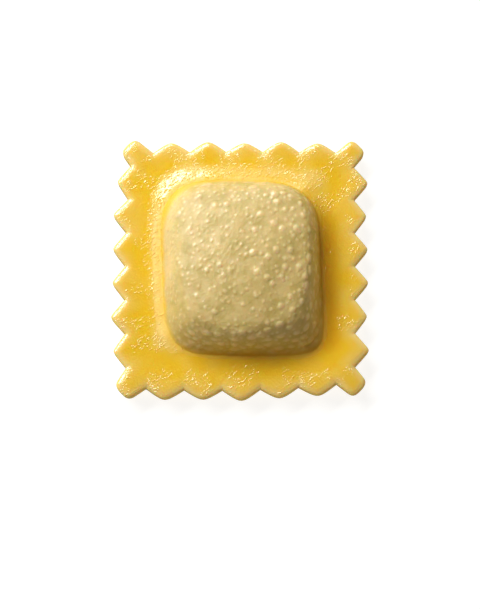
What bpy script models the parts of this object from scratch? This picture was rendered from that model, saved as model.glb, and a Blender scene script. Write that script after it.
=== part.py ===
"""One square ravioli with pinked edges, lying on its belly with the filled side up.

The piece is one solid: two sheets of egg dough pressed into one rim round a pocket of filling.
Run it with: blender --background --python part.py

Frame: metres, +Z up, origin under the middle of the outline, on the surface that the ravioli lies on.
The front of the piece (the side nearest to whoever looks at it) faces -Y.
"""

import math

import bmesh
import bpy
from mathutils import Vector, kdtree

MM = 0.001

# ---- The cut outline -------------------------------------------------------------------------
# The notches of the zigzag lie on a slightly skewed, slightly bowed rectangle, the root line.
ROOT_CORNERS = {
    "back_left": Vector((-19.7, 21.2)) * MM,
    "back_right": Vector((19.8, 21.2)) * MM,
    "front_right": Vector((19.7, -19.9)) * MM,
    "front_left": Vector((-20.2, -20.8)) * MM,
}
# Each side runs clockwise from corner to corner. The dough gives a little, so it bows outwards.
SIDES = (
    # from, to, teeth, bow, plain stretch before the first notch and after the last
    ("back_left", "back_right", 5, 0.35 * MM, 3.8 * MM, 3.1 * MM),
    ("back_right", "front_right", 6, 0.10 * MM, 2.5 * MM, 2.6 * MM),
    ("front_right", "front_left", 5, 0.90 * MM, 3.2 * MM, 3.3 * MM),
    ("front_left", "back_left", 6, 0.75 * MM, 3.3 * MM, 2.3 * MM),
)
# Two cutters: the one for the back and front rolls blunt teeth, the one for the sides sharp ones.
TOOTH_DEPTH = {5: 1.7 * MM, 6: 2.25 * MM}
TIP_ROUNDING = {5: 0.34, 6: 0.12}  # share of half a tooth's width that its tip's curve takes
DEPTH_UNEVENNESS = 0.08  # share by which neighbouring teeth differ
TAB_LENGTH = 3.65 * MM  # the corner tabs, from the line between their two notches
TAB_END_WIDTH = 3.5 * MM
TAB_ROUNDING = 1.3 * MM

# ---- The pressed rim -------------------------------------------------------------------------
RIM_THICKNESS = 2.0 * MM
RIM_LIFT = 0.35 * MM  # how much higher the teeth stand than the rim beside the pocket
RIM_LIFT_WIDTH = 6.0 * MM
EDGE_ROUNDING = 1.6 * MM  # how far in from the cut the upper face starts to fall
EDGE_DROP = 0.5 * MM
UNDER_EDGE_DROP = 0.3 * MM

# ---- The pocket ------------------------------------------------------------------------------
# A square plinth, pressed by the mould, carries the rounder bulge of the filling.
PLINTH_CENTRE = Vector((-0.1, 1.8)) * MM
PLINTH_HALF = Vector((16.4, 17.5)) * MM
PLINTH_CORNER = 4.5 * MM
PLINTH_BACK_LEFT_CORNER = 8.0 * MM
PLINTH_SLOPE_WIDTH = 7.0 * MM
PLINTH_BACK_LEFT_WIDTH = 3.9 * MM
BACK_LEFT_RANGE = (4.0 * MM, 24.0 * MM)  # of y - x, where the plinth takes on its back left form
PLINTH_HEIGHT = 1.0 * MM
BULGE_CENTRE = Vector((0.3, 0.2)) * MM
BULGE_HALF = Vector((14.3, 15.5)) * MM
BULGE_SQUARENESS = 5.4  # exponent of its outline: 2 is an ellipse, and more is squarer
SQUARENESS_RANGE = 1.8  # how much squarer than that the front right corner is
CROSS_CORNERS = (0.5, 1.75)  # how much rounder the back right and front left corners are
BULGE_HEIGHT = 6.0 * MM  # from the rim to the shoulder
BULGE_WALL_SHARE = 0.33  # of the half width, from the foot to the shoulder
WALL_SHARE_SKEW = -0.14  # how much less that is towards the back right
FRONT_RIGHT_WIDENING = 0.24  # how much more it is in the front right corner
FRONT_LEFT_WIDENING = 0.15
FRONT_RIGHT_RANGE = (0.35, 0.85)  # from the middle, 0, to the corner, 1
FRONT_LEFT_RANGE = (0.45, 0.9)
BULGE_STEEPNESS = 3.6  # of the foot, against a straight wall
FRONT_CORNER_EASING = 1.0  # how much less steep the feet of the front corners are
CROWN_HEIGHT = 2.9 * MM  # how much the shoulder rises on to the middle
FILLET = 1.2 * MM  # where the bulge grows out of the plinth

# ---- The belly -------------------------------------------------------------------------------
BELLY_DEPTH = 1.2 * MM  # how far the rim's underside clears the surface
BELLY_SLOPE_WIDTH = 5.0 * MM
BELLY_CORNER = 6.0 * MM
BELLY_FLAT_INSET = 4.2 * MM  # from the pocket's edge to the flat that the piece rests on

# ---- Mesh density ----------------------------------------------------------------------------
TOOTH_STEPS = (0.0, 0.22, 0.39, 0.5, 0.61, 0.78)  # where a tooth's outline gets a point
TAB_STEPS = (0.0, 0.12, 0.3, 0.48, 0.62, 0.75, 0.88)  # the same for half a corner tab, from its end
EDGE_BAND = (0.0, 0.05, 0.12, 0.22, 0.37, 0.56, 0.78)  # rows of the tab's depth, from the cut
FADE_LENGTH = 5.5 * MM  # how far in the zigzag still shifts the rows of the mesh
OUTLINE_SAMPLES = 24  # points per tooth for measuring distances to the cut


def smooth(value, low, high):
    """0 below low, 1 above high, and an even S-curve between."""
    t = min(max((value - low) / (high - low), 0.0), 1.0)
    return t * t * (3.0 - 2.0 * t)


def outward(start, end):
    """The unit normal of a side that runs clockwise round the piece."""
    along = (end - start).normalized()
    return Vector((-along.y, along.x))


def notches_of(side):
    """The notch points of one side, in order."""
    start, end = ROOT_CORNERS[side[0]], ROOT_CORNERS[side[1]]
    teeth, bow, lead_in, lead_out = side[2:]
    along, normal = (end - start).normalized(), outward(start, end)
    length = (end - start).length
    found = []
    for index in range(teeth + 1):
        distance = lead_in + (length - lead_in - lead_out) * index / teeth
        share = distance / length
        found.append(start + along * distance + normal * bow * 4.0 * share * (1.0 - share))
    return found


def tooth_point(left, right, depth, rounding, share):
    """A point on a tooth between two notches. Its flanks are straight and its tip is a hyperbola."""
    across = abs(2.0 * share - 1.0)
    fall = (math.hypot(across, rounding) - rounding) / (math.hypot(1.0, rounding) - rounding)
    return left.lerp(right, share) + outward(left, right) * depth * (1.0 - fall)


def rounded_corner(before, corner, after, radius, share):
    """A point on the path before-corner-after, whose corner is eased over the given radius."""
    first, second = (corner - before).length, (after - corner).length
    distance = share * (first + second)
    if abs(distance - first) >= radius:
        if distance < first:
            return before.lerp(corner, distance / first)
        return corner.lerp(after, (distance - first) / second)
    ease_in = corner + (before - corner).normalized() * radius
    ease_out = corner + (after - corner).normalized() * radius
    t = (distance - first + radius) / (2.0 * radius)
    return ease_in.lerp(corner, t).lerp(corner.lerp(ease_out, t), t)


def half_tabs(side, next_side):
    """Both halves of a corner tab, as functions of a share that runs out from the end's middle."""
    last_notch, next_notch = notches_of(side)[-1], notches_of(next_side)[0]
    start, corner, finish = (ROOT_CORNERS[name] for name in (side[0], side[1], next_side[1]))
    direction = (outward(start, corner) + outward(corner, finish)).normalized()
    across = Vector((direction.y, -direction.x)) * TAB_END_WIDTH / 2.0
    end = (last_notch + next_notch) / 2.0 + direction * TAB_LENGTH

    def half(notch, sign):
        return lambda share: rounded_corner(end, end + across * sign, notch, TAB_ROUNDING, share)

    return half(last_notch, -1.0), half(next_notch, 1.0)


def cut_outline(tooth_steps, tab_steps):
    """The four sides of the cut, clockwise, each from the middle of one tab's end to the next."""
    sides = []
    for number, side in enumerate(SIDES):
        own = notches_of(side)
        _, into_side = half_tabs(SIDES[number - 1], side)
        out_of_side, _ = half_tabs(side, SIDES[(number + 1) % 4])
        points = [into_side(share) for share in tab_steps]
        for tooth in range(side[2]):
            uneven = 1.0 + DEPTH_UNEVENNESS * math.sin(2.4 * tooth + 1.7 * number)
            for share in tooth_steps:
                points.append(
                    tooth_point(
                        own[tooth],
                        own[tooth + 1],
                        TOOTH_DEPTH[side[2]] * uneven,
                        TIP_ROUNDING[side[2]],
                        share,
                    )
                )
        points.append(own[-1].copy())
        points.extend(out_of_side(share) for share in reversed(tab_steps))
        sides.append(points)
    return sides


def centred(sides):
    """The same outline, moved so that the origin is the middle of its box."""
    points = [point for side in sides for point in side]
    low = Vector((min(p.x for p in points), min(p.y for p in points)))
    high = Vector((max(p.x for p in points), max(p.y for p in points)))
    return [[point - (low + high) / 2.0 for point in side] for side in sides]


def inside_box(point, centre, half, corner):
    """How far a point is inside a rectangle with rounded corners; negative outside."""
    x = abs(point.x - centre.x) - half.x + corner
    y = abs(point.y - centre.y) - half.y + corner
    return corner - math.hypot(max(x, 0.0), max(y, 0.0)) - min(max(x, y), 0.0)


def plinth_height(point):
    """Height of the plinth's slope, which is the roundest and steepest at the back left."""
    back_left = smooth(point.y - point.x, *BACK_LEFT_RANGE)
    corner = PLINTH_CORNER + (PLINTH_BACK_LEFT_CORNER - PLINTH_CORNER) * back_left
    width = PLINTH_SLOPE_WIDTH + (PLINTH_BACK_LEFT_WIDTH - PLINTH_SLOPE_WIDTH) * back_left
    return PLINTH_HEIGHT * smooth(inside_box(point, PLINTH_CENTRE, PLINTH_HALF, corner), 0.0, width)


def pocket_height(point):
    """Height of the upper face above the rim."""
    plinth = plinth_height(point)
    u = (point.x - BULGE_CENTRE.x) / BULGE_HALF.x
    v = (point.y - BULGE_CENTRE.y) / BULGE_HALF.y
    # How far a place is to the front right, and how far to the back right, from -1 to 1.
    lean = min(max((u - v) / 2.0, -1.0), 1.0)
    skew = min(max((u + v) / 2.0, -1.0), 1.0)
    power = BULGE_SQUARENESS + SQUARENESS_RANGE * lean
    power -= CROSS_CORNERS[0] * skew + CROSS_CORNERS[1] * skew * skew
    # 0 in the middle of the bulge and 1 all along its foot.
    reach = (abs(u) ** power + abs(v) ** power) ** (1.0 / power)
    front_right = smooth(lean, *FRONT_RIGHT_RANGE)
    front_left = smooth(-skew, *FRONT_LEFT_RANGE)
    wall_share = BULGE_WALL_SHARE + WALL_SHARE_SKEW * skew
    wall_share += FRONT_RIGHT_WIDENING * front_right + FRONT_LEFT_WIDENING * front_left
    wall = min(max((1.0 - reach) / wall_share, 0.0), 1.0)
    steepness = BULGE_STEEPNESS - FRONT_CORNER_EASING * (front_right + front_left)
    bulge = BULGE_HEIGHT * (1.0 - (1.0 - wall) ** steepness)
    bulge += CROWN_HEIGHT * max(1.0 - u * u, 0.0) * max(1.0 - v * v, 0.0)
    # A soft maximum of the two, so that the bulge grows out of the plinth in a fillet.
    mix = max(FILLET - abs(plinth - bulge), 0.0) / FILLET
    return max(plinth, bulge) + mix * mix * FILLET / 4.0


def edge_fall(distance, width, drop):
    """How much a face has fallen at a distance in from the cut: a quarter of an ellipse."""
    t = min(distance / width, 1.0)
    return drop * (1.0 - math.sqrt(1.0 - (1.0 - t) ** 2))


def rim_rise(point):
    """How much the rim bends up from the pocket to its teeth."""
    outside = -inside_box(point, PLINTH_CENTRE, PLINTH_HALF, PLINTH_CORNER)
    return RIM_LIFT * smooth(outside, 0.0, RIM_LIFT_WIDTH)


def upper_face(point, to_cut):
    """Height of the upper face over a point of the plan."""
    height = BELLY_DEPTH + RIM_THICKNESS + rim_rise(point) + pocket_height(point)
    return height - edge_fall(to_cut, EDGE_ROUNDING, EDGE_DROP)


def under_face(point, to_cut):
    """Height of the underside over a point of the plan. It is exactly 0 where the piece rests."""
    depth = inside_box(point, PLINTH_CENTRE, PLINTH_HALF, BELLY_CORNER)
    height = BELLY_DEPTH * (1.0 - smooth(depth, BELLY_FLAT_INSET - BELLY_SLOPE_WIDTH, BELLY_FLAT_INSET))
    return height + rim_rise(point) + edge_fall(to_cut, EDGE_ROUNDING, UNDER_EDGE_DROP)


def line_places(low, high, count, band):
    """Places of the mesh's lines along one axis: close together at both cuts, even between."""
    reach = TAB_LENGTH + TOOTH_DEPTH[6]
    near = [low + reach * share for share in band]
    inner = count - 2 * len(band)
    even = [low + reach + (high - low - 2.0 * reach) * i / inner for i in range(inner + 1)]
    return near + even + [high - reach * share for share in reversed(band)]


def plan_points(sides):
    """The plan place of every grid vertex, as rows of points from front to back.

    The grid fills the outline as a patch between its four sides: a plain rectangle, plus each
    side's own shift, which fades out inwards.
    """
    back, right, front, left = sides
    columns, rows = len(back) - 1, len(right) - 1
    half_x = ROOT_CORNERS["back_right"].x + TOOTH_DEPTH[6] / 2.0
    half_y = ROOT_CORNERS["back_right"].y + TOOTH_DEPTH[5] / 2.0
    xs = line_places(-half_x, half_x, columns, EDGE_BAND)
    ys = line_places(-half_y, half_y, rows, EDGE_BAND)

    def fade(distance):
        return max(1.0 - distance / FADE_LENGTH, 0.0) ** 2

    grid = []
    for j, y in enumerate(ys):
        row = []
        for i, x in enumerate(xs):
            weights = fade(x + half_x), fade(half_x - x), fade(y + half_y), fade(half_y - y)
            shifts = (
                left[j] - Vector((-half_x, y)),
                right[rows - j] - Vector((half_x, y)),
                front[columns - i] - Vector((x, -half_y)),
                back[i] - Vector((x, half_y)),
            )
            corners = (
                (0, 2, left[0] - Vector((-half_x, -half_y))),
                (0, 3, back[0] - Vector((-half_x, half_y))),
                (1, 2, front[0] - Vector((half_x, -half_y))),
                (1, 3, right[0] - Vector((half_x, half_y))),
            )
            place = Vector((x, y))
            for weight, shift in zip(weights, shifts):
                place += shift * weight
            for a, b, shift in corners:
                place -= shift * weights[a] * weights[b]
            row.append(place)
        grid.append(row)
    return grid


def cut_finder():
    """A search tree over the cut, for the distance from any point of the plan to it."""
    even = [index / OUTLINE_SAMPLES for index in range(OUTLINE_SAMPLES)]
    points = [point for side in centred(cut_outline(even, even)) for point in side]
    tree = kdtree.KDTree(len(points))
    for index, point in enumerate(points):
        tree.insert(point.to_3d(), index)
    tree.balance()
    return tree


def ravioli_mesh():
    """A closed mesh: a grid for the upper face, its rim extruded down, and the underside below."""
    plan = plan_points(centred(cut_outline(TOOTH_STEPS, TAB_STEPS)))
    rows, columns = len(plan), len(plan[0])
    tree = cut_finder()
    bm = bmesh.new()
    # create_grid makes its vertices row by row, from low y to high y and from low x to high x.
    bmesh.ops.create_grid(bm, x_segments=columns - 1, y_segments=rows - 1, size=1.0)
    bm.verts.ensure_lookup_table()
    to_cut = {}
    for index, vert in enumerate(bm.verts):
        point = plan[index // columns][index % columns]
        to_cut[vert] = 0.0 if vert.is_boundary else tree.find(point.to_3d())[2]
        vert.co = point.to_3d()
    # The underside is the same grid turned over, joined to the upper one by the cut edge.
    under = bmesh.ops.duplicate(bm, geom=bm.verts[:] + bm.edges[:] + bm.faces[:])
    twins = under["vert_map"]
    upper = list(to_cut)
    rims = [edge for edge in bm.edges if edge.is_boundary]
    for vert in upper:
        place = vert.co.to_2d()
        vert.co.z = upper_face(place, to_cut[vert])
        twins[vert].co.z = under_face(place, to_cut[vert])
    under_faces = [item for item in under["geom"] if isinstance(item, bmesh.types.BMFace)]
    bmesh.ops.reverse_faces(bm, faces=under_faces)
    bmesh.ops.bridge_loops(bm, edges=rims)
    # The flat that the piece rests on becomes one face.
    flat = [face for face in bm.faces if all(vert.co.z == 0.0 for vert in face.verts)]
    bmesh.ops.dissolve_faces(bm, faces=flat)
    bmesh.ops.recalc_face_normals(bm, faces=bm.faces[:])
    mesh = bpy.data.meshes.new("ravioli")
    bm.to_mesh(mesh)
    bm.free()
    mesh.shade_smooth()
    mesh.set_sharp_from_angle(angle=math.radians(50.0))
    return mesh


def egg_dough():
    """Fresh egg pasta: warm yellow, satin from a trace of moisture."""
    material = bpy.data.materials.new("egg_dough")
    material.use_nodes = True
    shader = material.node_tree.nodes["Principled BSDF"]
    shader.inputs["Base Color"].default_value = (0.86, 0.57, 0.12, 1.0)
    shader.inputs["Roughness"].default_value = 0.42
    shader.inputs["Metallic"].default_value = 0.0
    return material


def main():
    for obj in list(bpy.data.objects):
        bpy.data.objects.remove(obj)
    mesh = ravioli_mesh()
    mesh.materials.append(egg_dough())
    bpy.context.scene.collection.objects.link(bpy.data.objects.new("ravioli", mesh))


main()
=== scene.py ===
# %% [markdown]
# # One square ravioli, dressed
#
# A filled square of fresh egg pasta lies on its belly. Two sheets of dough are pressed together
# into a rim with pinked edges, and in the middle they close over a spoonful of soft cheese and
# greens. The solid already has the size and the main form. This script gives it the things that
# make it look edible: the soft rounding of the cut, curds that push through the thin dough, fine
# creases, the moist shine, and the way light soaks into the dough.
#
# The first cell loads the solid as a fixed frame and keeps its box, which the finished piece
# must not outgrow.

# %% Load the frame
import math

import bmesh
import bpy
import numpy as np
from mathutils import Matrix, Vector, kdtree, noise


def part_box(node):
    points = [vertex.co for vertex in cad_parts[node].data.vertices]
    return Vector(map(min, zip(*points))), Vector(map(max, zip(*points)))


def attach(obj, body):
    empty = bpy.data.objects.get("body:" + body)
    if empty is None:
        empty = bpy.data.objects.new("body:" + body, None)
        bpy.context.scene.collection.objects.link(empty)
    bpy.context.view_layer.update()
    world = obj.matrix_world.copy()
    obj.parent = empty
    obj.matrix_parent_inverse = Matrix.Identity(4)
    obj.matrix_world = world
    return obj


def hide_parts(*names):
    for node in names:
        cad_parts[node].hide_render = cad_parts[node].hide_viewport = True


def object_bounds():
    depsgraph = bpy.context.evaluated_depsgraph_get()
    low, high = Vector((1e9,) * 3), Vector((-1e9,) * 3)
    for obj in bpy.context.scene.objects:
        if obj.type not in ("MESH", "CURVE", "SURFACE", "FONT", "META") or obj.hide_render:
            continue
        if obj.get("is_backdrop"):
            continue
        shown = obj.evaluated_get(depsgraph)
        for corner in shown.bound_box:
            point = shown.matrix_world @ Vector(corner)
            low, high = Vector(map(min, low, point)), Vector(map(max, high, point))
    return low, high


MM = 0.001
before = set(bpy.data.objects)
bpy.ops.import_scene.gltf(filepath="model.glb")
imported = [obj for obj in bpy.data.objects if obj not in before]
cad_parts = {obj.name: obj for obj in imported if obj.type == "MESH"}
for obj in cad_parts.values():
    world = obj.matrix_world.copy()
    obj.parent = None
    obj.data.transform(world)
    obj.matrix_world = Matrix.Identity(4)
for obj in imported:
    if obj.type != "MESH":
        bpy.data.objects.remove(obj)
solid_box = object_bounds()
low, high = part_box("ravioli")
print("solid, mm:", [round((b - a) / MM, 2) for a, b in zip(low, high)])

# %% [markdown]
# ## The cut outline
#
# The outline is cut by two rollers. The one for the back and front has five blunt teeth a side,
# and the one for the left and right six sharper ones. Where two cuts meet, a small tab is left
# over at the corner. It could be drawn as a list of points, but a rule is shorter and easier to
# change: notches stand on a slightly bowed line, and between two notches a tooth rises on
# straight flanks to a rounded tip. These are the same sizes as the solid's.

# %% Sizes of the outline
ROOT_CORNERS = {
    "back_left": Vector((-19.7, 21.2)) * MM,
    "back_right": Vector((19.8, 21.2)) * MM,
    "front_right": Vector((19.7, -19.9)) * MM,
    "front_left": Vector((-20.2, -20.8)) * MM,
}
SIDES = (
    # from, to, teeth, bow, plain stretch before the first notch and after the last
    ("back_left", "back_right", 5, 0.35 * MM, 3.8 * MM, 3.1 * MM),
    ("back_right", "front_right", 6, 0.10 * MM, 2.5 * MM, 2.6 * MM),
    ("front_right", "front_left", 5, 0.90 * MM, 3.2 * MM, 3.3 * MM),
    ("front_left", "back_left", 6, 0.75 * MM, 3.3 * MM, 2.3 * MM),
)
TOOTH_DEPTH = {5: 1.7 * MM, 6: 2.25 * MM}
TIP_ROUNDING = {5: 0.34, 6: 0.12}  # share of half a tooth's width that its tip's curve takes
DEPTH_UNEVENNESS = 0.08  # share by which neighbouring teeth differ
TAB_LENGTH = 3.65 * MM  # from the line between the tab's two notches
TAB_END_WIDTH = 3.5 * MM
TAB_ROUNDING = 1.3 * MM


# %% The path of the cutters
def outward(start, end):
    """The unit normal of a side that runs clockwise round the piece."""
    along = (end - start).normalized()
    return Vector((-along.y, along.x))


def notches_of(side):
    """The notch points of one side, in order."""
    start, end = ROOT_CORNERS[side[0]], ROOT_CORNERS[side[1]]
    teeth, bow, lead_in, lead_out = side[2:]
    along, normal = (end - start).normalized(), outward(start, end)
    length = (end - start).length
    found = []
    for index in range(teeth + 1):
        distance = lead_in + (length - lead_in - lead_out) * index / teeth
        share = distance / length
        found.append(start + along * distance + normal * bow * 4.0 * share * (1.0 - share))
    return found


def tooth_point(left, right, depth, rounding, share):
    """A point on a tooth between two notches: straight flanks and a hyperbola for a tip."""
    across = abs(2.0 * share - 1.0)
    fall = (math.hypot(across, rounding) - rounding) / (math.hypot(1.0, rounding) - rounding)
    return left.lerp(right, share) + outward(left, right) * depth * (1.0 - fall)


def rounded_corner(before, corner, after, radius, share):
    """A point on the path before-corner-after, whose corner is eased over the given radius."""
    first, second = (corner - before).length, (after - corner).length
    distance = share * (first + second)
    if abs(distance - first) >= radius:
        if distance < first:
            return before.lerp(corner, distance / first)
        return corner.lerp(after, (distance - first) / second)
    ease_in = corner + (before - corner).normalized() * radius
    ease_out = corner + (after - corner).normalized() * radius
    t = (distance - first + radius) / (2.0 * radius)
    return ease_in.lerp(corner, t).lerp(corner.lerp(ease_out, t), t)


def half_tabs(side, next_side):
    """Both halves of a corner tab, as functions of a share that runs out from the end's middle."""
    last_notch, next_notch = notches_of(side)[-1], notches_of(next_side)[0]
    start, corner, finish = (ROOT_CORNERS[name] for name in (side[0], side[1], next_side[1]))
    direction = (outward(start, corner) + outward(corner, finish)).normalized()
    across = Vector((direction.y, -direction.x)) * TAB_END_WIDTH / 2.0
    end = (last_notch + next_notch) / 2.0 + direction * TAB_LENGTH

    def half(notch, sign):
        return lambda share: rounded_corner(end, end + across * sign, notch, TAB_ROUNDING, share)

    return half(last_notch, -1.0), half(next_notch, 1.0)


def cut_outline(tooth_steps, tab_steps):
    """The four sides of the cut, clockwise, each from the middle of one tab's end to the next."""
    sides = []
    for number, side in enumerate(SIDES):
        own = notches_of(side)
        _, into_side = half_tabs(SIDES[number - 1], side)
        out_of_side, _ = half_tabs(side, SIDES[(number + 1) % 4])
        points = [into_side(share) for share in tab_steps]
        for tooth in range(side[2]):
            uneven = 1.0 + DEPTH_UNEVENNESS * math.sin(2.4 * tooth + 1.7 * number)
            depth, rounding = TOOTH_DEPTH[side[2]] * uneven, TIP_ROUNDING[side[2]]
            for share in tooth_steps:
                points.append(tooth_point(own[tooth], own[tooth + 1], depth, rounding, share))
        points.append(own[-1].copy())
        points += [out_of_side(share) for share in reversed(tab_steps)]
        sides.append(points)
    return sides


def centred(sides):
    """The same outline as arrays, moved so that the origin is the middle of its box."""
    points = np.array([point for side in sides for point in side])
    middle = (points.min(axis=0) + points.max(axis=0)) / 2.0
    return [np.array(side) - middle for side in sides]


def even_shares(count):
    """That many shares of a whole, from 0 up to just below 1."""
    return [index / count for index in range(count)]


# The back and front have five teeth, so their teeth get more points than the sides' six do.
TOOTH_POINTS = {"across": 42, "along": 36}
TAB_POINTS = 30
MEASURING_POINTS = 120  # a tooth or half a tab, for measuring distances to the cut
fine_cut = centred(cut_outline(even_shares(MEASURING_POINTS), even_shares(MEASURING_POINTS)))
print("cut:", sum(len(side) for side in fine_cut), "points for measuring")


# %% [markdown]
# ## A grid that fits the outline
#
# The face of the dough needs an even, fine mesh, because the curds are barely a millimetre
# across. A grid gives that, but a square grid has straight edges. So each vertex of the grid is
# moved: near a side it takes over that side's shift from the straight line, and the shift fades
# out further in. This is known as a patch between four curves. A Boolean cut of a plain grid
# would be quicker to write, but it leaves slivers along the teeth that catch the light.

# %% Spread the grid over the outline
FADE_LENGTH = 5.5 * MM
WALLS = (10.0 * MM, 11.5 * MM, 15.6 * MM, 17.0 * MM)  # from the middle: where the lines draw closer
WALL_DENSITY = 1.8  # lines there against lines elsewhere
DENSITY_SAMPLES = 400


def smooth(value, start, end):
    """0 below start, 1 above end, and an even S-curve between."""
    t = np.clip((value - start) / (end - start), 0.0, 1.0)
    return t * t * (3.0 - 2.0 * t)


def cut_sides():
    """The four sides with the number of points that the grid needs on each."""
    across = centred(cut_outline(even_shares(TOOTH_POINTS["across"]), even_shares(TAB_POINTS)))
    along = centred(cut_outline(even_shares(TOOTH_POINTS["along"]), even_shares(TAB_POINTS)))
    return across[0], along[1], across[2], along[3]


def line_places(half, count):
    """Places of the grid's lines along one axis: closer together at the cuts and over the walls."""
    reach = TAB_LENGTH + TOOTH_DEPTH[6]
    near = [-half + reach * share**1.5 for share in even_shares(TAB_POINTS)]
    samples = np.linspace(reach - half, half - reach, DENSITY_SAMPLES)
    out = np.abs(samples)
    density = 1.0 + (WALL_DENSITY - 1.0) * (smooth(out, *WALLS[:2]) - smooth(out, *WALLS[2:]))
    spent = np.cumsum(density) - density / 2.0
    shares = np.linspace(spent[0], spent[-1], count - 2 * TAB_POINTS + 1)
    inner = np.interp(shares, spent, samples)
    return np.concatenate([near, inner, [-place for place in reversed(near)]])


def plan_grid():
    """Plan places of all grid vertices, as an array of rows from front to back."""
    back, right, front, left = cut_sides()
    half_x = ROOT_CORNERS["back_right"].x + TOOTH_DEPTH[6] / 2.0
    half_y = ROOT_CORNERS["back_right"].y + TOOTH_DEPTH[5] / 2.0
    xs = line_places(half_x, len(back) - 1)
    ys = line_places(half_y, len(right) - 1)
    plan = np.stack(np.meshgrid(xs, ys), axis=-1)
    # Each side's shift away from the plain rectangle, from left to right or from front to back.
    shifts = {
        "left": left - np.stack([np.full_like(ys, -half_x), ys], axis=-1),
        "right": right[::-1] - np.stack([np.full_like(ys, half_x), ys], axis=-1),
        "front": front[::-1] - np.stack([xs, np.full_like(xs, -half_y)], axis=-1),
        "back": back - np.stack([xs, np.full_like(xs, half_y)], axis=-1),
    }

    def fade(distance):
        return np.maximum(1.0 - distance / FADE_LENGTH, 0.0)[:, None] ** 2

    weights = {
        "left": fade(xs + half_x),
        "right": fade(half_x - xs),
        "front": fade(ys + half_y),
        "back": fade(half_y - ys),
    }
    for name in ("left", "right"):
        plan += shifts[name][:, None] * weights[name][None]
    for name in ("front", "back"):
        plan += shifts[name][None] * weights[name][:, None]
    # Both sides of a corner have added its shift, so it is taken off once.
    for name, column in (("left", 0), ("right", -1)):
        for other in ("front", "back"):
            plan -= shifts[other][column] * weights[name][None] * weights[other][:, None]
    return plan


plan = plan_grid()
rows, columns = plan.shape[:2]
X, Y = plan[..., 0], plan[..., 1]
print("grid:", rows, "rows,", columns, "columns")

# %% Distance from each vertex to the cut
search = kdtree.KDTree(sum(len(side) for side in fine_cut))
for index, point in enumerate(np.concatenate(fine_cut)):
    search.insert((*point, 0.0), index)
search.balance()
distances = [search.find((*point, 0.0))[2] for point in plan.reshape(-1, 2)]
to_cut = np.array(distances).reshape(rows, columns)
to_cut[[0, -1]] = 0.0
to_cut[:, [0, -1]] = 0.0
print("furthest from the cut, mm:", round(to_cut.max() / MM, 1))


# %% [markdown]
# ## The main form
#
# The mould presses a flat rim round a square plinth, and the filling bulges out of it. Each is a
# height over the plan, so the face is one height field. The bulge's outline is a superellipse, a
# square with soft corners. Its wall is thinnest at the back right and softest at the front right.
#
# Most sizes are the solid's. The bulge is a little lower, so that the curds on it stay inside the
# solid's box, and its foot and walls are a little softer and more uneven.

# %% Heights of rim, plinth and bulge
RIM_THICKNESS = 2.0 * MM
RIM_LIFT = 0.35 * MM  # how much higher the teeth stand than the rim beside the plinth
RIM_LIFT_WIDTH = 6.0 * MM
EDGE_ROUNDING = 1.6 * MM  # how far in from the cut the upper face starts to fall
EDGE_DROP = 0.5 * MM
UNDER_EDGE_DROP = 0.3 * MM
EDGE_EVENING = 8  # passes of averaging that soften the fall into the notches
PLINTH_CENTRE = Vector((-0.1, 1.8)) * MM
PLINTH_HALF = Vector((16.4, 17.5)) * MM
PLINTH_CORNER = 4.5 * MM
PLINTH_BACK_LEFT_CORNER = 8.0 * MM
PLINTH_SLOPE_WIDTH = 7.0 * MM
PLINTH_BACK_LEFT_WIDTH = 3.9 * MM
BACK_LEFT_RANGE = (4.0 * MM, 24.0 * MM)  # of y - x, where the plinth takes on its back left form
PLINTH_HEIGHT = 1.0 * MM
BULGE_CENTRE = Vector((0.3, 0.2)) * MM
BULGE_HALF = Vector((14.3, 15.5)) * MM
BULGE_SQUARENESS = 5.4  # exponent of its outline: 2 is an ellipse, and more is squarer
SQUARENESS_RANGE = 1.8  # how much squarer than that the front right corner is
CROSS_CORNERS = (0.5, 1.75)  # how much rounder the back right and front left corners are
BULGE_HEIGHT = 5.9 * MM  # from the rim to the shoulder
BULGE_WALL_SHARE = 0.33  # of the half width, from the foot to the shoulder
WALL_SHARE_SKEW = -0.14  # how much less that is towards the back right
FRONT_RIGHT_WIDENING = 0.24  # how much more it is in the front right corner
FRONT_LEFT_WIDENING = 0.15
FRONT_NARROWING = 0.04  # how much less it is along the front
FRONT_RIGHT_RANGE = (0.35, 0.85)  # from the middle, 0, to the corner, 1
FRONT_LEFT_RANGE = (0.45, 0.9)
FRONT_RANGE = (0.4, 0.9)
BULGE_STEEPNESS = 3.6  # of the foot, against a straight wall
FRONT_CORNER_EASING = 1.0  # how much less steep the feet of the front corners are
BULGE_SHEAR = 0.03  # how far the bulge leans out of square
WAIST = 0.02
WAIST_DIRECTION = math.radians(10.0)
CROWN_HEIGHT = 2.9 * MM  # how much the shoulder rises on to the middle
EASE = 0.3  # share of the plinth's slope that each of its rounded ends takes
FILLET = 1.8 * MM  # where the bulge grows out of the plinth
BELLY_DEPTH = 1.2 * MM  # how far the rim's underside clears the table
BELLY_SLOPE_WIDTH = 5.0 * MM
BELLY_CORNER = 6.0 * MM
BELLY_FLAT_INSET = 4.2 * MM  # from the plinth's edge to the flat that the piece rests on


def eased(value):
    """0 up to 0 and 1 from 1 on, with a straight ramp between whose ends are rounded."""
    t = np.clip(value, 0.0, 1.0)
    low_end = t * t / (2.0 * EASE * (1.0 - EASE))
    ramp = (t - EASE / 2.0) / (1.0 - EASE)
    high_end = 1.0 - (1.0 - t) ** 2 / (2.0 * EASE * (1.0 - EASE))
    return np.where(t < EASE, low_end, np.where(t > 1.0 - EASE, high_end, ramp))


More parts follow.
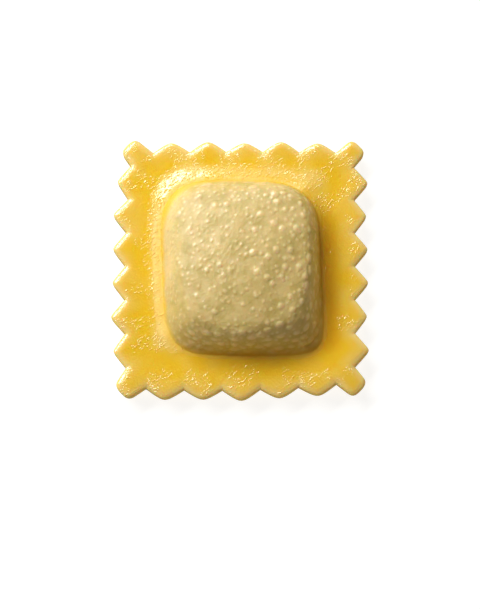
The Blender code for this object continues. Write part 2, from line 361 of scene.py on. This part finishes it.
def inside_box(x, y, centre, half, corner):
    """How far a place is inside a rectangle with rounded corners; negative outside."""
    a = np.abs(x - centre.x) - half.x + corner
    b = np.abs(y - centre.y) - half.y + corner
    past_corner = np.hypot(np.maximum(a, 0.0), np.maximum(b, 0.0))
    return corner - past_corner - np.minimum(np.maximum(a, b), 0.0)


def plinth_share(x, y):
    """How far up the plinth's slope a place is. The back left corner is the roundest and steepest."""
    back_left = smooth(y - x, *BACK_LEFT_RANGE)
    corner = PLINTH_CORNER + (PLINTH_BACK_LEFT_CORNER - PLINTH_CORNER) * back_left
    width = PLINTH_SLOPE_WIDTH + (PLINTH_BACK_LEFT_WIDTH - PLINTH_SLOPE_WIDTH) * back_left
    return inside_box(x, y, PLINTH_CENTRE, PLINTH_HALF, corner) / width


def bulge_reach(x, y):
    """0 in the middle and 1 along the foot; how far to the front right; how far to the back right."""
    u = (x - BULGE_CENTRE.x + BULGE_SHEAR * (y - BULGE_CENTRE.y)) / BULGE_HALF.x
    v = (y - BULGE_CENTRE.y) / BULGE_HALF.y
    lean = np.clip((u - v) / 2.0, -1.0, 1.0)
    skew = np.clip((u + v) / 2.0, -1.0, 1.0)
    power = BULGE_SQUARENESS + SQUARENESS_RANGE * lean
    power = power - CROSS_CORNERS[0] * skew - CROSS_CORNERS[1] * skew * skew
    reach = (np.abs(u) ** power + np.abs(v) ** power) ** (1.0 / power)
    # A hand never spreads the filling evenly: the bulge is a little narrower across its waist.
    reach *= 1.0 + WAIST * np.cos(2.0 * (np.arctan2(v, u) - WAIST_DIRECTION))
    return reach, lean, skew


def pocket_height(x, y):
    """Height of the face above the rim."""
    plinth = PLINTH_HEIGHT * eased(plinth_share(x, y))
    reach, lean, skew = bulge_reach(x, y)
    u, v = (x - BULGE_CENTRE.x) / BULGE_HALF.x, (y - BULGE_CENTRE.y) / BULGE_HALF.y
    # The wall is the part of the way in from the foot where most of the rise happens.
    front_right = smooth(lean, *FRONT_RIGHT_RANGE)
    front_left = smooth(-skew, *FRONT_LEFT_RANGE)
    wall_share = BULGE_WALL_SHARE + WALL_SHARE_SKEW * skew
    wall_share += FRONT_RIGHT_WIDENING * front_right + FRONT_LEFT_WIDENING * front_left
    wall_share -= FRONT_NARROWING * smooth(-v, *FRONT_RANGE) * np.maximum(1.0 - u * u, 0.0)
    wall = np.clip((1.0 - reach) / wall_share, 0.0, 1.0)
    steepness = BULGE_STEEPNESS - FRONT_CORNER_EASING * (front_right + front_left)
    bulge = BULGE_HEIGHT * (1.0 - (1.0 - wall) ** steepness)
    bulge += CROWN_HEIGHT * np.maximum(1.0 - u * u, 0.0) * np.maximum(1.0 - v * v, 0.0)
    # A soft maximum of the two, so that the bulge grows out of the plinth in a fillet.
    mix = np.maximum(FILLET - np.abs(plinth - bulge), 0.0) / FILLET
    return np.maximum(plinth, bulge) + mix * mix * FILLET / 4.0


def edge_fall(distance, width, drop):
    """How much a face has fallen at a distance in from the cut: a quarter of an ellipse."""
    t = np.minimum(distance / width, 1.0)
    return drop * (1.0 - np.sqrt(1.0 - (1.0 - t) ** 2))


def evened(field, passes):
    """The same field after each inner value has been averaged with its neighbours."""
    field = field.copy()
    for _ in range(passes):
        beside = field[:-2, 1:-1] + field[2:, 1:-1] + field[1:-1, :-2] + field[1:-1, 2:]
        field[1:-1, 1:-1] = 0.5 * field[1:-1, 1:-1] + 0.125 * beside
    return field


outside = -inside_box(X, Y, PLINTH_CENTRE, PLINTH_HALF, PLINTH_CORNER)
rim_rise = RIM_LIFT * smooth(outside, 0.0, RIM_LIFT_WIDTH)
form = BELLY_DEPTH + RIM_THICKNESS + rim_rise + pocket_height(X, Y)
form -= evened(edge_fall(to_cut, EDGE_ROUNDING, EDGE_DROP), EDGE_EVENING)
belly = inside_box(X, Y, PLINTH_CENTRE, PLINTH_HALF, BELLY_CORNER)
sunk = smooth(belly, BELLY_FLAT_INSET - BELLY_SLOPE_WIDTH, BELLY_FLAT_INSET)
underside = BELLY_DEPTH * (1.0 - sunk)
underside += rim_rise + edge_fall(to_cut, EDGE_ROUNDING, UNDER_EDGE_DROP)
print("top of the bulge, mm:", round(form.max() / MM, 2))


# %% [markdown]
# ## What pushes through the dough
#
# Over the filling the dough is stretched thin, so the curds show as relief: round bumps up to
# 1.6 mm across, small ones everywhere and large ones mostly on the right and on the front wall. On
# the walls the film hangs, so its bumps are drawn out along the wall. Texture nodes could fake this,
# but the bumps are large enough to cast shade and to break the line of the walls, so they are
# real relief, pushed out square to the surface. Seeded generators place them.

# %% Noise over the plan
random = np.random.default_rng(7)
noise.seed_set(7)  # without this, noise_vector would start from the clock
flat_places = plan.reshape(-1, 2)


def shifted(size, seed, stretch=1.0, direction=0.0):
    """The grid's places in units of the given size, in a part of the noise that the seed picks."""
    cosine, sine = math.cos(direction), math.sin(direction)
    along = (flat_places @ (cosine, sine)) / (size * stretch)
    across = (flat_places @ (-sine, cosine)) / size
    return [Vector((a + 17.3 * seed, b - 5.1 * seed, 2.7 * seed)) for a, b in zip(along, across)]


def as_field(values):
    """One value for each of the grid's places, in the grid's own rows."""
    return np.array(values).reshape(rows, columns)


def cloud(size, seed, **direction):
    """Smooth noise, about -1 to 1, with features of the given size."""
    return as_field([noise.noise(place) for place in shifted(size, seed, **direction)])


# %% Bumps
CURD_EDGE = 1.5  # how softly a bump runs out: 1 is a plain dome
CURDS_END = 0.985  # of the reach, where the last bumps stand
LARGE_SPACING, LARGE_RADII, LARGE_RISE = 1.35 * MM, (0.50 * MM, 0.80 * MM), 0.22
SMALL_SPACING, SMALL_RADII, SMALL_RISE = 0.80 * MM, (0.26 * MM, 0.46 * MM), 0.21
LARGE_DRAWN_OUT, SMALL_DRAWN_OUT = 0.5, 0.2  # on a steep wall
SMALLEST_STEP = 0.11 * MM  # between two lines of the grid
formed = np.dstack([plan, form])
slopes = (
    np.gradient(form, axis=1) / np.gradient(X, axis=1),
    np.gradient(form, axis=0) / np.gradient(Y, axis=0),
)
reach, lean, _ = bulge_reach(X, Y)
right, back = (X - BULGE_CENTRE.x) / BULGE_HALF.x, (Y - BULGE_CENTRE.y) / BULGE_HALF.y


def around(row, column, radius):
    """The part of the grid that can lie within a radius of one vertex."""
    count = int(radius / SMALLEST_STEP) + 1
    near_rows = slice(max(row - count, 0), row + count + 1)
    near_columns = slice(max(column - count, 0), column + count + 1)
    return near_rows, near_columns


def scattered(spacing, chance):
    """Vertices at least the spacing apart, drawn with the given chance for each vertex."""
    free = random.random(X.shape) < chance
    kept = []
    for index in random.permutation(np.flatnonzero(free)):
        row, column = divmod(int(index), columns)
        if free[row, column]:
            kept.append((row, column))
            near = around(row, column, spacing)
            free[near] &= np.linalg.norm(formed[near] - formed[row, column], axis=2) > spacing
    return kept


def bumps(places, least, most, rise, drawn_out):
    """Round bumps of radii between least and most. Where two meet, the higher one shows."""
    field = np.zeros_like(X)
    for row, column in places:
        radius = random.uniform(least, most)
        slope = np.array([slopes[0][row, column], slopes[1][row, column]])
        steep = min(np.hypot(*slope), 1.0)
        level = np.array([-slope[1], slope[0], 0.0]) / max(np.hypot(*slope), 0.001)
        near = around(row, column, radius * (1.0 + drawn_out))
        away = formed[near] - formed[row, column]
        along = away @ level
        shortened = 1.0 - 1.0 / (1.0 + drawn_out * steep) ** 2
        distance = (np.sum(away**2, axis=2) - shortened * along**2) / radius**2
        dome = np.maximum(1.0 - distance, 0.0) ** CURD_EDGE
        field[near] = np.maximum(field[near], rise * radius * dome)
    return field


on_bulge = reach < CURDS_END
large_chance = 0.001 + 0.014 * smooth(right, 0.0, 0.5) + 0.035 * smooth(-back, 0.7, 0.9)
large_places = scattered(LARGE_SPACING, large_chance * on_bulge)
small_chance = 0.025 + 0.05 * smooth(cloud(4.0 * MM, 15), -0.1, 0.4) + 0.04 * smooth(-back, 0.5, 0.9)
small_places = scattered(SMALL_SPACING, small_chance * on_bulge)
large = bumps(large_places, *LARGE_RADII, LARGE_RISE, LARGE_DRAWN_OUT)
small = bumps(small_places, *SMALL_RADII, SMALL_RISE, SMALL_DRAWN_OUT)
curds = np.maximum(large, small)
lumps = 0.20 * cloud(5.0 * MM, 1) + 0.07 * cloud(2.2 * MM, 2) + 0.02 * cloud(1.1 * MM, 11)
print("curds:", len(large_places), "large,", len(small_places), "small")

# %% [markdown]
# ## Creases and crinkles
#
# The stretched skin also has fine creases, a fifth of a millimetre wide. They run in short arcs,
# which noise whose place is bent by other noise gives. The thicker dough of the rim is only
# crinkled: fine strokes, all drawn the same way by the rolling, break its shine into flecks.

# %% Creases, crinkles and waves
CREASE_HALF_WIDTH = 0.16  # in values of the noise
CREASE_STRETCH = 1.6
CREASE_DIRECTION = math.radians(75.0)
BEND_SIZE = 0.45  # of the creases' own size
ROLLING = math.radians(38.0)


def creases(size, seed, bend):
    """Narrow ridges along the zero lines of bent noise, 0 to 1."""
    values = []
    for place in shifted(size, seed, stretch=CREASE_STRETCH, direction=CREASE_DIRECTION):
        place += bend * noise.noise_vector(place * BEND_SIZE)
        values.append(max(1.0 - abs(noise.noise(place)) / CREASE_HALF_WIDTH, 0.0))
    return as_field(values) ** 1.5


middle_left = 1.0 - smooth(np.hypot(right + 0.3, back - 0.1), 0.3, 0.75)
creased = np.clip(smooth(cloud(6.0 * MM, 4), 0.0, 0.35) + middle_left, 0.0, 1.0)
skin = creases(1.1 * MM, 3, 1.2) * creased
crinkle = cloud(0.45 * MM, 5, stretch=2.6, direction=ROLLING)
crinkle += 0.8 * cloud(0.9 * MM, 9, stretch=2.0, direction=ROLLING)
waves = cloud(7.0 * MM, 6)
over_filling = 1.0 - smooth(reach, 0.93, 1.0)
off_filling = smooth(reach, 0.96, 1.05)
by_cut = smooth(to_cut, 0.0, 1.2 * MM)
on_pocket = curds / MM + lumps + 0.050 * skin + 0.03 * cloud(0.8 * MM, 16)
on_rim = by_cut * (0.010 * crinkle + 0.12 * waves)
relief = (over_filling * (on_pocket - 0.15) + off_filling * on_rim) * MM
print("relief, mm: %.2f to %.2f" % (relief.min() / MM, relief.max() / MM))


def pushed_out(places, amounts):
    """The same places moved along the surface's own normals."""
    normals = np.cross(np.gradient(places, axis=1), np.gradient(places, axis=0))
    normals /= np.linalg.norm(normals, axis=2, keepdims=True)
    return places + normals * amounts[..., None]


face = pushed_out(formed, relief)
print("top, mm:", round(face[..., 2].max() / MM, 2))

# %% [markdown]
# ## The mesh
#
# A grid becomes the face. Its boundary is extruded down in a few steps for the cut edge, which
# has a faint seam where the two sheets of dough meet. A coarser grid, every third line of the same
# plan, is bridged on as the underside.

# %% Helpers for the mesh
CUT_STEPS = (
    # share of the way down the cut, and how far it stands back from the outline
    (0.15, 0.01 * MM),
    (0.35, 0.0),
    (0.47, 0.01 * MM),
    (0.52, 0.06 * MM),
    (0.57, 0.01 * MM),
    (0.80, 0.0),
    (1.0, 0.05 * MM),
)
UNDER_STEP = 3


def placed_grid(bm, places):
    """A grid of vertices, each moved to its place."""
    down, across = places.shape[:2]
    made = bmesh.ops.create_grid(bm, x_segments=across - 1, y_segments=down - 1, size=1.0)["verts"]
    for vert, place in zip(made, places.reshape(-1, 3)):
        vert.co = place
    return made


def thinned(field):
    """Every third line of a field, with the last one always kept."""
    picked = [sorted({*range(0, size, UNDER_STEP), size - 1}) for size in field.shape[:2]]
    return field[np.ix_(*picked)]


def ring(field):
    """The outermost values of a field, once round from its first corner."""
    return np.concatenate([field[0, :-1], field[:-1, -1], field[-1, :0:-1], field[:0:-1, 0]])


def boundary(edges):
    """The edges among these that have only one face."""
    return [edge for edge in edges if edge.is_boundary]


# %% Face, cut edge and underside
def dough_mesh():
    """The whole piece as one closed mesh, whose first vertices are the face's, row by row."""
    bm = bmesh.new()
    grid_verts = placed_grid(bm, face)
    order = [grid_verts[index] for index in ring(np.arange(rows * columns).reshape(rows, columns))]
    outline = ring(plan)
    tangents = np.roll(outline, -1, axis=0) - np.roll(outline, 1, axis=0)
    normals = np.stack([tangents[:, 1], -tangents[:, 0]], axis=-1)
    normals /= np.linalg.norm(normals, axis=1)[:, None]
    top, bottom = ring(face[..., 2]), ring(underside)
    loop = boundary(bm.edges)
    for share, set_back in CUT_STEPS:
        made = bmesh.ops.extrude_edge_only(bm, edges=loop)["geom"]
        loop = boundary(item for item in made if isinstance(item, bmesh.types.BMEdge))
        fresh = {vert for vert in made if isinstance(vert, bmesh.types.BMVert)}
        # Each new vertex hangs on an edge from the one that it was drawn out of.
        below = []
        for vert in order:
            beside = (edge.other_vert(vert) for edge in vert.link_edges)
            below.append(next(other for other in beside if other in fresh))
        order = below
        places = outline - normals * set_back
        heights = top + (bottom - top) * share
        for vert, (x, y), z in zip(order, places, heights):
            vert.co = (x, y, z)
    low_verts = placed_grid(bm, thinned(np.dstack([plan, underside])))
    # A dictionary keeps the edges in one order, so the mesh comes out the same each time.
    low_edges = dict.fromkeys(edge for vert in low_verts for edge in vert.link_edges)
    bmesh.ops.bridge_loops(bm, edges=loop + boundary(low_edges))
    bmesh.ops.recalc_face_normals(bm, faces=bm.faces[:])
    return bm


bm = dough_mesh()
print("faces:", len(bm.faces), "open edges:", len(boundary(bm.edges)))
print("volume, cm3:", round(bm.calc_volume() * 1e6, 2))

# %% Where each look shows
# Each field is about 0 to 1. A place is told by its reach, which is 1 along the bulge's foot, by its
# lean, which grows towards the front right corner, and by how far right or back it is.

# The dough goes from yellow to clear over the foot of the bulge, most slowly at the back left.
film_fade = 0.05 + 0.12 * smooth(-lean, 0.6, 0.95) + 0.03 * smooth(back, 0.5, 0.9)
filling = 1.0 - smooth(reach + 0.02 * cloud(2.5 * MM, 8), 1.0 - film_fade, 1.01)
# On the walls towards the front right, away from the lamp, the colour turns back towards yellow: painted shade.
filling *= 1.0 - 0.45 * smooth(reach, 0.78, 0.96) * smooth(lean, -0.1, 0.5)
# The curds are cream. On the left wall, which faces the lamp, the film is painted nearly cream too: a painted
# sheen.
painted_sheen_wall = smooth(reach, 0.76, 0.90) * smooth(-right, 0.6, 0.85) * smooth(-lean, 0.1, 0.4)
curd_share = np.clip(curds / (0.10 * MM) + 0.5 * cloud(1.6 * MM, 14), 0.0, 1.0)
cream_and_sheen = np.maximum(curd_share, 0.7 * painted_sheen_wall)
# The dough is paler on the teeth, and at the cut, partly as thinner dough and partly as a painted highlight
# along its rounding.
bevel = 1.0 - smooth(to_cut, 0.0, 1.5 * MM)
teeth = 1.0 - smooth(to_cut, 0.8 * MM, 4.0 * MM)
up_plinth = smooth(plinth_share(X, Y), -0.05, 0.35) * (1.0 - smooth(lean, -0.1, 0.3))
# On the plinth's slope at the back and left, which faces the lamp, the paler colour is painted light.
painted_lit_slope = up_plinth * smooth(reach, 0.96, 1.10)
pale_and_lit_dough = 0.8 * bevel + 0.30 * teeth + 0.45 * painted_lit_slope + 0.25 * cloud(3.0 * MM, 12)
pale_and_lit_dough = np.clip(pale_and_lit_dough, 0.0, 1.0)
# Beside the bulge, away from the lamp, the yellow is painted deeper: painted shade, most of all on the right.
shaded_foot = smooth(reach, 0.94, 1.04) * (1.0 - smooth(reach, 1.08, 1.28)) * smooth(lean, 0.0, 0.45)
painted_shade_beside_bulge = shaded_foot * (1.0 - 0.7 * smooth(-back, 0.85, 1.05))
# The stretched film is duller than the rim, and at the left it runs on over the bulge's foot.
left_foot = smooth(-right, 0.7, 0.9) * (1.0 - smooth(back, 0.3, 0.8))
film = 1.0 - smooth(reach - 0.08 * left_foot, 0.98, 1.07)
# The crinkles come in patches, and all along the slope at the back left.
patchy = smooth(cloud(3.2 * MM, 13) + 0.15 * teeth * smooth(np.abs(back), 0.9, 1.1), 0.0, 0.4)
back_left_slope = smooth(-lean, 0.3, 0.6) * up_plinth
crinkled = np.clip(0.12 + 0.88 * patchy + 0.4 * up_plinth, 0.0, 1.0) + 0.8 * back_left_slope
crinkled *= (1.0 - 0.8 * filling) * (1.0 - 0.8 * shaded_foot)

# %% Keep these fields on the mesh
FIELDS = {
    # name, the field on the face, and its one value on the cut and underneath
    "filling": (filling, 0.0),
    "film": (film, 0.0),
    "curd": (curd_share, 0.0),
    "cream_and_sheen": (cream_and_sheen, 0.0),
    "pale_and_lit": (pale_and_lit_dough, 0.6),
    "painted_shade": (painted_shade_beside_bulge, 0.0),
    "crinkled": (crinkled, 0.0),
}


def keep_on_mesh(mesh, name, field, beyond):
    """A value for each vertex: the field's on the face, and one value everywhere else."""
    values = np.full(len(mesh.vertices), beyond, np.float32)
    values[: rows * columns] = field.reshape(-1)
    mesh.attributes.new(name, "FLOAT", "POINT").data.foreach_set("value", values)


mesh = bpy.data.meshes.new("ravioli_dough")
bm.to_mesh(mesh)
bm.free()
mesh.shade_smooth()
for name, (field, beyond) in FIELDS.items():
    keep_on_mesh(mesh, name, field, beyond)
dough = bpy.data.objects.new("ravioli_dough", mesh)
bpy.context.scene.collection.objects.link(dough)
triangles = sum(len(polygon.vertices) - 2 for polygon in mesh.polygons)
print("triangles:", triangles)

# %% [markdown]
# ## The finish
#
# Fresh egg dough is yellow, moist and a little see-through: light goes in and comes out nearby, so
# its shade is warm and soft. Over the filling the film is thin, and pale curds on green show.

# %% Colours and sizes of the finish
YOLK = (0.80, 0.52, 0.015)
# Pale dough, also the colour of the painted light on the plinth's slope and the painted highlight at the cut.
PALE_AND_LIT_YOLK = (0.84, 0.64, 0.21)
# The colour of the painted shade beside the bulge.
PAINTED_SHADE_YOLK = (0.75, 0.41, 0.005)
GREENS = (0.54, 0.42, 0.12)
PALE_GREENS = (0.64, 0.49, 0.18)
# Cream of the curds, also the colour of the painted sheen on the left wall.
CHEESE_AND_SHEEN = (0.76, 0.60, 0.29)
WET_ROUGHNESS = 0.17
FILM_ROUGHNESS = 0.60
CURD_SHINE = 0.6  # how far a curd takes the film's roughness back to the wet one
PATCHES_PER_METRE = 520.0
PATCH_RANGE = (0.38, 0.62)  # of the noise, from greens to pale greens
GRAIN_PER_METRE = 2600.0
GRAIN_DEPTH = 0.06 * MM
GRAIN_STRENGTH = 0.8
STROKES_PER_METRE = 3000.0
STROKE_LENGTH = 2.6  # times their width
STROKE_RANGE = (0.54, 0.74)  # of the noise, so that strokes stand apart
STROKE_DEPTH = 0.08 * MM
SOAK_SHARE = 0.7  # of the light that goes into the dough and comes out nearby
SOAK_COLOURS = (1.0, 0.5, 0.2)  # red goes furthest
SOAK_LENGTH = 1.4 * MM
DOUGH_IOR = 1.55
SHINE_LEVEL = 0.8


# %% Helpers for the material
def node(tree, kind, **settings):
    """A new node with these settings."""
    made = tree.nodes.new(kind)
    for name, value in settings.items():
        setattr(made, name, value)
    return made


def mixed(tree, factor, first, second):
    """A colour between two, each a colour or a node's output."""
    mix = node(tree, "ShaderNodeMix", data_type="RGBA")
    tree.links.new(factor, mix.inputs["Factor"])
    for socket, value in ((mix.inputs[6], first), (mix.inputs[7], second)):
        if isinstance(value, tuple):
            socket.default_value = (*value, 1.0)
        else:
            tree.links.new(value, socket)
    return mix.outputs[2]


def ranged(tree, value, start, end, start_gives=0.0, end_gives=1.0):
    """A value mapped so that start and end give the two values named."""
    made = node(tree, "ShaderNodeMapRange")
    made.inputs["From Min"].default_value = start
    made.inputs["From Max"].default_value = end
    made.inputs["To Min"].default_value = start_gives
    made.inputs["To Max"].default_value = end_gives
    tree.links.new(value, made.inputs["Value"])
    return made.outputs[0]


def noise_node(tree, coordinates, per_metre, detail):
    """A noise of about that many features a metre, 0 to 1."""
    made = node(tree, "ShaderNodeTexNoise")
    made.inputs["Scale"].default_value = per_metre
    made.inputs["Detail"].default_value = detail
    tree.links.new(coordinates, made.inputs["Vector"])
    return made.outputs["Fac"]


def bump(tree, height, depth, strength):
    """A bump of the given depth in metres."""
    made = node(tree, "ShaderNodeBump")
    made.inputs["Strength"].default_value = strength
    made.inputs["Distance"].default_value = depth
    tree.links.new(height, made.inputs["Height"])
    return made


# %% Material
def dough_colour(tree, places, on_mesh):
    """Egg yellow on the rim with painted light and shade in it, and cheese with greens where the filling shows.
    """
    # Pale teeth and cut, with a painted highlight at the cut and painted light on the plinth's slope facing the
    # lamp.
    yolk = mixed(tree, on_mesh["pale_and_lit"], YOLK, PALE_AND_LIT_YOLK)
    # Painted shade on the rim beside the bulge, away from the lamp.
    yolk = mixed(tree, on_mesh["painted_shade"], yolk, PAINTED_SHADE_YOLK)
    patches = noise_node(tree, places, PATCHES_PER_METRE, 2.0)
    greens = mixed(tree, ranged(tree, patches, *PATCH_RANGE), GREENS, PALE_GREENS)
    # Cream curds, and a painted sheen on the left wall that faces the lamp.
    cheese = mixed(tree, on_mesh["cream_and_sheen"], greens, CHEESE_AND_SHEEN)
    # Less filling on the walls towards the front right is painted shade.
    return mixed(tree, on_mesh["filling"], yolk, cheese)


def dough_roughness(tree, on_mesh):
    """The rim is wet, the film over the filling is duller, and the curds shine a little in it."""
    bare_film = node(tree, "ShaderNodeMath", operation="MULTIPLY_ADD")
    bare_film.inputs[1].default_value = -CURD_SHINE
    tree.links.new(on_mesh["curd"], bare_film.inputs[0])
    tree.links.new(on_mesh["film"], bare_film.inputs[2])
    return ranged(tree, bare_film.outputs[0], 0.0, 1.0, WET_ROUGHNESS, FILM_ROUGHNESS)


def dough_normal(tree, places, on_mesh):
    """Strokes along the rolling where the dough is crinkled, and a fine grain everywhere."""
    turned = node(tree, "ShaderNodeMapping", vector_type="TEXTURE")
    turned.inputs["Rotation"].default_value = (0.0, 0.0, ROLLING)
    turned.inputs["Scale"].default_value = (STROKE_LENGTH, 1.0, 1.0)
    tree.links.new(places, turned.inputs["Vector"])
    strokes = noise_node(tree, turned.outputs[0], STROKES_PER_METRE, 2.0)
    height = node(tree, "ShaderNodeMath", operation="MULTIPLY")
    tree.links.new(ranged(tree, strokes, *STROKE_RANGE), height.inputs[0])
    tree.links.new(on_mesh["crinkled"], height.inputs[1])
    stroke_bump = bump(tree, height.outputs[0], STROKE_DEPTH, 1.0)
    grain = noise_node(tree, places, GRAIN_PER_METRE, 3.0)
    grain_bump = bump(tree, grain, GRAIN_DEPTH, GRAIN_STRENGTH)
    tree.links.new(stroke_bump.outputs[0], grain_bump.inputs["Normal"])
    return grain_bump.outputs[0]


def dough_material():
    """Moist egg dough that light soaks into, turning clear over the filling."""
    material = bpy.data.materials.new("egg_dough_over_filling")
    material.use_nodes = True
    tree = material.node_tree
    shader = tree.nodes["Principled BSDF"]
    places = node(tree, "ShaderNodeTexCoord").outputs["Object"]
    on_mesh = {}
    for name in FIELDS:
        on_mesh[name] = node(tree, "ShaderNodeAttribute", attribute_name=name).outputs["Fac"]
    tree.links.new(dough_colour(tree, places, on_mesh), shader.inputs["Base Color"])
    tree.links.new(dough_roughness(tree, on_mesh), shader.inputs["Roughness"])
    tree.links.new(dough_normal(tree, places, on_mesh), shader.inputs["Normal"])
    shader.inputs["Subsurface Weight"].default_value = SOAK_SHARE
    shader.inputs["Subsurface Radius"].default_value = SOAK_COLOURS
    shader.inputs["Subsurface Scale"].default_value = SOAK_LENGTH
    shader.inputs["IOR"].default_value = DOUGH_IOR
    shader.inputs["Specular IOR Level"].default_value = SHINE_LEVEL
    return material


dough.data.materials.append(dough_material())
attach(dough, "root")
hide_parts("ravioli")

# %% [markdown]
# ## Table, light and camera
#
# The piece lies on a plain white table, which glows a little, so that it stays white where the
# lamp is weak. One soft lamp stands close by at the back left, so its light weakens across the
# piece, and warm, dim surroundings fill the shade.

# %% Table
TABLE_HALF = 1.5
PAPER = (0.25, 0.25, 0.25, 1.0)
PAPER_ROUGHNESS = 0.9
PAPER_GLOW = 0.86
table_mesh = bpy.data.meshes.new("table")
bm = bmesh.new()
bmesh.ops.create_grid(bm, x_segments=1, y_segments=1, size=TABLE_HALF)
bm.to_mesh(table_mesh)
bm.free()
table = bpy.data.objects.new("table", table_mesh)
bpy.context.scene.collection.objects.link(table)
paper = bpy.data.materials.new("white_paper")
paper.use_nodes = True
paper_shader = paper.node_tree.nodes["Principled BSDF"]
paper_shader.inputs["Base Color"].default_value = PAPER
paper_shader.inputs["Roughness"].default_value = PAPER_ROUGHNESS
paper_shader.inputs["Emission Color"].default_value = (1.0, 1.0, 1.0, 1.0)
paper_shader.inputs["Emission Strength"].default_value = PAPER_GLOW
table_mesh.materials.append(paper)
# The dough's shine doesn't mirror the table, which would wash out the edges of its teeth.
table.visible_glossy = False
table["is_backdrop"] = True

# %% Light
KEY_DIRECTION = 131.0  # degrees round from +X
KEY_HEIGHT = 45.0  # degrees up
KEY_DISTANCE = 0.36
KEY_SIZE = (0.42, 0.12)  # along the level, and up
KEY_POWER = 2.0
KEY_TARGET = (0.0, 0.0, 0.006)
FILL = 0.17
FILL_COLOUR = (1.0, 0.76, 0.42, 1.0)


def aimed(location, target):
    """The rotation that makes a lamp or a camera look from one place at another."""
    return (Vector(target) - Vector(location)).to_track_quat("-Z", "Y").to_euler()


def on_dome(direction, height, distance):
    """A place at that distance from the middle, with both angles in degrees."""
    a, e = math.radians(direction), math.radians(height)
    return Vector((math.cos(a) * math.cos(e), math.sin(a) * math.cos(e), math.sin(e))) * distance


lamp = bpy.data.lights.new("key", "AREA")
lamp.shape = "RECTANGLE"
lamp.size, lamp.size_y = KEY_SIZE
lamp.energy = KEY_POWER
key = bpy.data.objects.new("key", lamp)
key.location = on_dome(KEY_DIRECTION, KEY_HEIGHT, KEY_DISTANCE)
key.rotation_euler = aimed(key.location, KEY_TARGET)
bpy.context.scene.collection.objects.link(key)

world = bpy.data.worlds.new("studio")
world.use_nodes = True
world.node_tree.nodes["Background"].inputs["Color"].default_value = FILL_COLOUR
world.node_tree.nodes["Background"].inputs["Strength"].default_value = FILL
bpy.context.scene.world = world

# %% Camera
CAMERA_TILT = 10.0  # degrees from straight down, towards the front
SEEN_HEIGHT = 0.1074  # of the picture, at the piece
LENS = 120.0
SENSOR = 36.0
CAMERA_TARGET = Vector((0.0, -0.0063, 0.003))

camera_data = bpy.data.cameras.new("camera")
camera_data.lens = LENS
camera_data.sensor_width = SENSOR
camera_data.clip_start = 0.01
camera = bpy.data.objects.new("camera", camera_data)
camera_distance = SEEN_HEIGHT * LENS / SENSOR
camera.location = CAMERA_TARGET + on_dome(-90.0, 90.0 - CAMERA_TILT, camera_distance)
camera.rotation_euler = aimed(camera.location, CAMERA_TARGET)
bpy.context.scene.collection.objects.link(camera)
bpy.context.scene.camera = camera
bpy.context.scene.view_settings.view_transform = "Standard"

# %% [markdown]
# ## The boxes
#
# The finished piece must keep to the solid's box, so both boxes are written down to compare.

# %% Sizes and finish
finished_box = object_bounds()
boxes = {"solid": [list(corner) for corner in solid_box], "finished": [list(corner) for corner in finished_box]}
for name, (low, high) in boxes.items():
    print(name, "mm:", [round((b - a) / MM, 2) for a, b in zip(low, high)])
